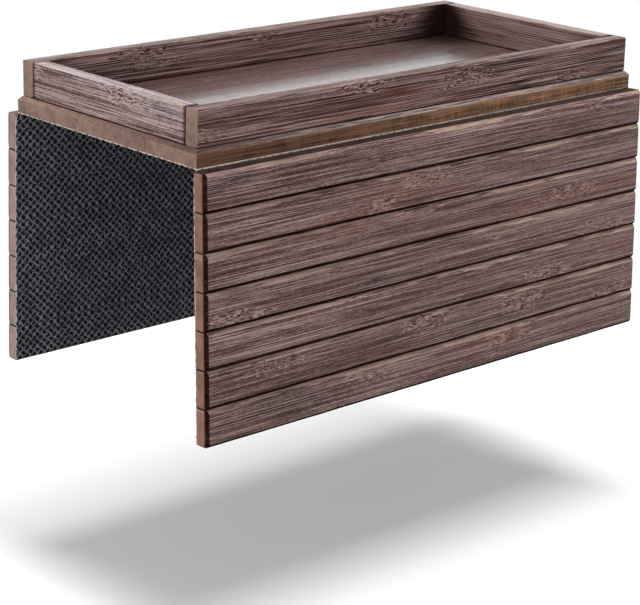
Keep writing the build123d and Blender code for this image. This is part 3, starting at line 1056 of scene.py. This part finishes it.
def cloth_piece(name, side, distances, first_row, columns, bends):
    """Slab of cloth between two distances along it.

    Its free face is the grid (x, cloth_line(distance)) pushed in by pressed_depth, and its back is one
    thickness behind it in a few long faces. bends are the grid rows where the back has to bend.
    """
    sizes = bpy.context.scene.tray_sizes
    rows = len(distances)
    rng = np.random.default_rng(900 + first_row + (400 if side > 0 else 0))
    y, z, facing = cloth_line(np.abs(distances))
    y = np.where(distances < 0, -y, y)
    outward_y = np.cos(facing) * np.where(distances < 0, -1, 1)
    outward_z = np.sin(facing)
    # Under the panel it is as wide as the panel is long, and past the fold as wide as the slats are long
    past_fold = np.abs(distances) - top_fold()[0]
    half = np.interp(past_fold, [0, WIDENING], [sizes.panel_length / 2, sizes.slat_length / 2])
    column = np.arange(columns)
    row = first_row + np.arange(rows)
    depth = pressed_depth(column[None, :], row[:, None]) * PRESSED
    unlike = rng.uniform(0.75, 1.1, depth.shape)
    unlike[[0, -1]] = 1
    depth = depth * unlike
    x = half[:, None] * np.linspace(-1, 1, columns)
    x[:, [0, -1]] += rng.uniform(0, RAGGED, (rows, 2)) * np.array([1, -1])

    def surface(depth):
        """Points this deep behind the free face."""
        depth = np.broadcast_to(depth, x.shape)
        return np.stack([x, y[:, None] + outward_y[:, None] * depth, z[:, None] + outward_z[:, None] * depth], -1)

    # Points of the back: its two ragged sides for every row, and the whole first and last rows
    used = np.zeros((rows, columns), bool)
    used[:, [0, -1]] = True
    used[[0, -1], :] = True
    back_index = np.full((rows, columns), -1)
    back_index[used] = rows * columns + np.arange(used.sum())
    face_index = np.arange(rows * columns).reshape(rows, columns)
    points = np.concatenate([surface(depth).reshape(-1, 3), surface(sizes.cloth_thickness - BOND_GAP)[used]])

    def wall(face_edge, back_edge):
        """Quads between an edge of the free face and the same edge of the back."""
        return np.stack([face_edge[:-1], back_edge[:-1], back_edge[1:], face_edge[1:]], -1)

    walls = np.concatenate([
        wall(face_index[0], back_index[0])[:, ::-1],
        wall(face_index[-1], back_index[-1]),
        wall(face_index[:, 0], back_index[:, 0]),
        wall(face_index[:, -1], back_index[:, -1])[:, ::-1],
    ])

    triangles = face_triangles(face_index, column, row)
    backs = back_loops(back_index, bends)
    corners = np.concatenate([triangles.reshape(-1), walls.reshape(-1), *backs])
    counts = np.concatenate([np.full(len(triangles), 3), np.full(len(walls), 4), [len(loop) for loop in backs]])
    # Finishes: 0 free face, 1 back and hidden seams, 2 cut edges at the sides
    end_walls = 2 * (columns - 1)
    finish_of_face = np.repeat([0, 1, 2, 1], [len(triangles), end_walls, len(walls) - end_walls, len(backs)])
    if side < 0:
        points = points * np.array([-1, -1, 1])
    # The pale back shows in a line at the fold, where the cloth comes off the panel
    pale = np.interp(past_fold, np.array([-0.36, -0.18, 0.0, 0.18]) * MM, [0.4, 1.0, 0.8, 0.02])
    pale = np.where(past_fold > 1.6 * MM, 0.5, pale)
    pale = np.broadcast_to(pale[:, None], (rows, columns))
    pale = np.concatenate([pale.reshape(-1), pale[used]])
    piece = new_piece(name, points, corners, counts, [CLOTH_FACE, CLOTH_BACK, CLOTH_CUT], finish_of_face,
                      {"pale": pale})
    # Map whose unit is one repeat of the pressed pattern, for every point of the free face
    grid = np.stack(np.meshgrid(column / REPEAT, row / REPEAT), -1).reshape(-1, 2)
    uv = np.concatenate([grid, np.zeros((used.sum(), 2))]).astype(np.float32)
    piece.data.uv_layers.new(name="weave").data.foreach_set("uv", uv[corners].ravel())
    return piece


class ARMTRAY_OT_backing_cloth(bpy.types.Operator):
    """Builds the backing cloth: a middle piece under the panel and one piece over each fold"""

    bl_idname = "armtray.backing_cloth"
    bl_label = "Build backing cloth"

    def execute(self, context):
        sizes = context.scene.tray_sizes
        flat_width = sizes.panel_length
        step = sizes.slat_pitch / ROWS_PER_SLAT
        columns = int(round(flat_width / step)) + 1
        # An arc over the fold is shorter than the sharp fold would be
        fold, bend, tangent = top_fold()
        saved = 2 * tangent - sizes.fold_radius * bend
        half_slat = sizes.slat_width / 2
        first_middle = fold - saved + sizes.first_slat_drop + half_slat
        seam = first_middle - ROWS_OVER_TOP * step
        half_steps = int(round(seam / step))

        distances = np.linspace(-seam, seam, 2 * half_steps + 1)
        piece = cloth_piece("backing_centre_cloth", 1, distances, -half_steps, columns, [])
        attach(piece, "tray")
        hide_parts("backing_centre")
        2 * seam

        last = sizes.slats_per_row
        for name, side in ROWS:
            for index in range(1, last + 1):
                end = first_middle + (index - 1) * sizes.slat_pitch
                if index == 1:
                    start, rows, first_row = seam, ROWS_OVER_TOP, half_steps
                    fold_at, bend_places = fold - saved / 2, TOP_BENDS
                else:
                    start, rows = end - sizes.slat_pitch, ROWS_PER_SLAT
                    first_row = half_steps + ROWS_OVER_TOP + (index - 2) * rows
                    fold_at, bend_places = (start + end) / 2, INNER_BENDS
                distances = np.linspace(start, end, rows + 1)
                if index == last:
                    tail = half_slat - sizes.hem_margin
                    more = np.linspace(end, end + tail, int(round(tail / step)) + 1)[1:]
                    distances = np.concatenate([distances, more])
                # The rows nearest to the fold move close to it, so that the cloth bends at rows of its own
                middle = int(np.argmin(np.abs(distances - fold_at)))
                bends = middle - len(bend_places) // 2 + np.arange(len(bend_places))
                distances[bends] = fold_at + np.array(bend_places) * MM
                piece = cloth_piece(f"{name}_fold_{index}_cloth", side, distances, first_row, columns, bends)
                above = "tray" if index == 1 else f"{name}_row_{index - 1}"
                self.bend_over_fold(piece, side, index, above, f"{name}_row_{index}")
                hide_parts(f"{name}_backing_{index}")
                float(distances[-1] - distances[0])
        return {"FINISHED"}

    @staticmethod
    def bend_over_fold(piece, side, index, above, below):
        """Bakes the piece's place into its points."""
        sizes = bpy.context.scene.tray_sizes
        middle = np.zeros(3)
        reach = np.array([0, -0.6, 0.6]) * MM
        if index > 1:
            half_gap = (sizes.slat_pitch - sizes.slat_width) / 2
            middle[2] = half_gap - sizes.first_slat_drop - (index - 1) * sizes.slat_pitch
            reach = np.array([0, 0, 1.0]) * MM
        start, end = (row_place(side) @ Matrix.Translation(middle + way * reach).translation for way in (1, -1))
        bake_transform(piece)


class ARMTRAY_OT_studio(bpy.types.Operator):
    """Sets up the pale floor, the soft lights and the camera"""

    bl_idname = "armtray.studio"
    bl_label = "Set up studio"

    def execute(self, context):
        look = context.scene.studio_look
        self.make_world(context.scene, look.surroundings)
        self.make_floor(look.floor_drop)
        self.make_softbox("overhead_softbox", look.overhead_box, (2.4, 0.6), (-0.022, -0.342, 2.75), (0, 0, -1.35))
        self.make_softbox("front_softbox", look.front_box, (1.6, 1.0), (0.10, -1.7, 0.16), (math.pi / 2, 0, 0.06))
        self.make_softbox("left_softbox", look.left_box, (1.6, 1.0), (-1.75, -0.25, 0.2), (math.pi / 2, 0, -1.43))
        rear = self.make_softbox("rear_softbox", look.rear_box, (1.6, 0.5), (1.12, 1.23, 0.36), (1.36, 0, 2.40))
        rear.visible_glossy = True
        rear.data.color = (0.92, 0.96, 1.0)
        self.make_camera(context.scene)
        context.scene.view_settings.view_transform = "Standard"
        return {"FINISHED"}

    @staticmethod
    def make_world(scene, strength):
        """White where the camera or a gloss sees it, and a softer pale room for the light it sheds."""
        world = bpy.data.worlds.new("pale_room")
        scene.world = world
        world.use_nodes = True
        tree = Tree(world.node_tree)
        background = next(node for node in world.node_tree.nodes if node.type == "BACKGROUND")
        seen = tree.seen_directly()[0]
        tree.feed(background, {"Color": (1, 1, 1), "Strength": tree.mix_value(seen, strength, 1.0)})

    @staticmethod
    def make_floor(drop):
        """Level round floor that turns into the white background away from the tray."""
        count, radius = 64, 9.0
        angle = 2 * np.pi * np.arange(count) / count
        points = np.stack([radius * np.cos(angle), radius * np.sin(angle), np.full(count, -drop)], -1)
        tree, shader = new_material("studio_floor")
        seen, camera = tree.seen_directly()
        far = tree.ramp(tree.vector("LENGTH", tree.stretched(tree.object_place(), (1, 1, 0))), 0.34, 0.60)
        colour = tree.mix(seen, (0.30, 0.30, 0.30), (0.97, 0.97, 0.97))
        tree.feed(shader, {"Base Color": colour, "Roughness": 1.0, "Specular IOR Level": 0.0})
        glow = tree.wire("ShaderNodeEmission", {"Color": (1, 1, 1), "Strength": 1.0})
        surface = tree.wire("ShaderNodeMixShader", {0: far * seen, 1: Wire(tree, shader.outputs[0]), 2: glow})
        # From below the floor is clear, so that the underside of the tray can be looked at
        below = tree.wire("ShaderNodeNewGeometry", output="Backfacing") * camera
        clear = tree.wire("ShaderNodeBsdfTransparent")
        surface = tree.wire("ShaderNodeMixShader", {0: below, 1: surface, 2: clear})
        output = next(node for node in tree.tree.nodes if node.type == "OUTPUT_MATERIAL")
        tree.feed(output, {"Surface": surface})
        floor = new_piece("studio_floor", points, np.arange(count), np.array([count]), ["studio_floor"])

    @staticmethod
    def make_softbox(name, power, size, place, turn):
        """Softbox that shines along its own -Z and that neither the camera nor a gloss sees."""
        light = bpy.data.lights.new(name, "AREA")
        light.shape = "RECTANGLE"
        light.size, light.size_y = size
        light.energy = power
        lamp = bpy.data.objects.new(name, light)
        lamp.location = place
        lamp.rotation_euler = turn
        lamp.visible_camera = False
        lamp.visible_glossy = False
        bpy.context.scene.collection.objects.link(lamp)
        return lamp

    @staticmethod
    def make_camera(scene):
        """Camera that stands where the photograph was taken from, to the left of the front row."""
        right = np.array([0.7456246, -0.6660033, 0.0219904])
        up = np.array([0.1664353, 0.2180845, 0.9616332])
        back = np.array([-0.6452467, -0.7133574, 0.2734556])
        turn = np.eye(4)
        turn[:3, 0], turn[:3, 1], turn[:3, 2] = right, up, back
        turn[:3, 3] = (-0.7864, -0.8588, 0.2598)
        lens = bpy.data.cameras.new("camera")
        lens.sensor_fit = "HORIZONTAL"
        lens.sensor_width = 36
        lens.lens = 120.72
        lens.shift_y = -0.125
        lens.clip_start = 0.05
        lens.clip_end = 60
        camera = bpy.data.objects.new("camera", lens)
        camera.matrix_world = Matrix(turn.tolist())
        scene.collection.objects.link(camera)
        scene.camera = camera


class ARMTRAY_PT_sidebar(bpy.types.Panel):
    """Sizes, finishes and building steps of the arm tray"""

    bl_label = "Sofa Arm Tray"
    bl_idname = "ARMTRAY_PT_sidebar"
    bl_space_type = "VIEW_3D"
    bl_region_type = "UI"
    bl_category = "Arm Tray"

    def draw(self, context):
        layout = self.layout
        for title, group in (
            ("Sizes", context.scene.tray_sizes),
            ("Finish", context.scene.tray_finish),
            ("Studio", context.scene.studio_look),
        ):
            box = layout.box()
            box.label(text=title)
            for key in group.bl_rna.properties.keys():
                if key not in ("rna_type", "name"):
                    box.prop(group, key)
        for builder in BUILDERS:
            layout.operator(builder.bl_idname)


# Operators in the order in which they build the scene
BUILDERS = (
    ARMTRAY_OT_finishes,
    ARMTRAY_OT_studio,
    ARMTRAY_OT_base_panel,
    ARMTRAY_OT_rails,
    ARMTRAY_OT_rail_screws,
    ARMTRAY_OT_slats,
    ARMTRAY_OT_backing_cloth,
)
CLASSES = (TraySizes, TrayFinish, StudioLook, *BUILDERS, ARMTRAY_PT_sidebar)


def register():
    for item in CLASSES:
        bpy.utils.register_class(item)
    bpy.types.Scene.tray_sizes = bpy.props.PointerProperty(type=TraySizes)
    bpy.types.Scene.tray_finish = bpy.props.PointerProperty(type=TrayFinish)
    bpy.types.Scene.studio_look = bpy.props.PointerProperty(type=StudioLook)


def unregister():
    del bpy.types.Scene.studio_look
    del bpy.types.Scene.tray_finish
    del bpy.types.Scene.tray_sizes
    for item in reversed(CLASSES):
        bpy.utils.unregister_class(item)


def main():
    register()
    for builder in BUILDERS:
        family, name = builder.bl_idname.split(".")
        getattr(getattr(bpy.ops, family), name)()


if __name__ == "__main__":
    main()
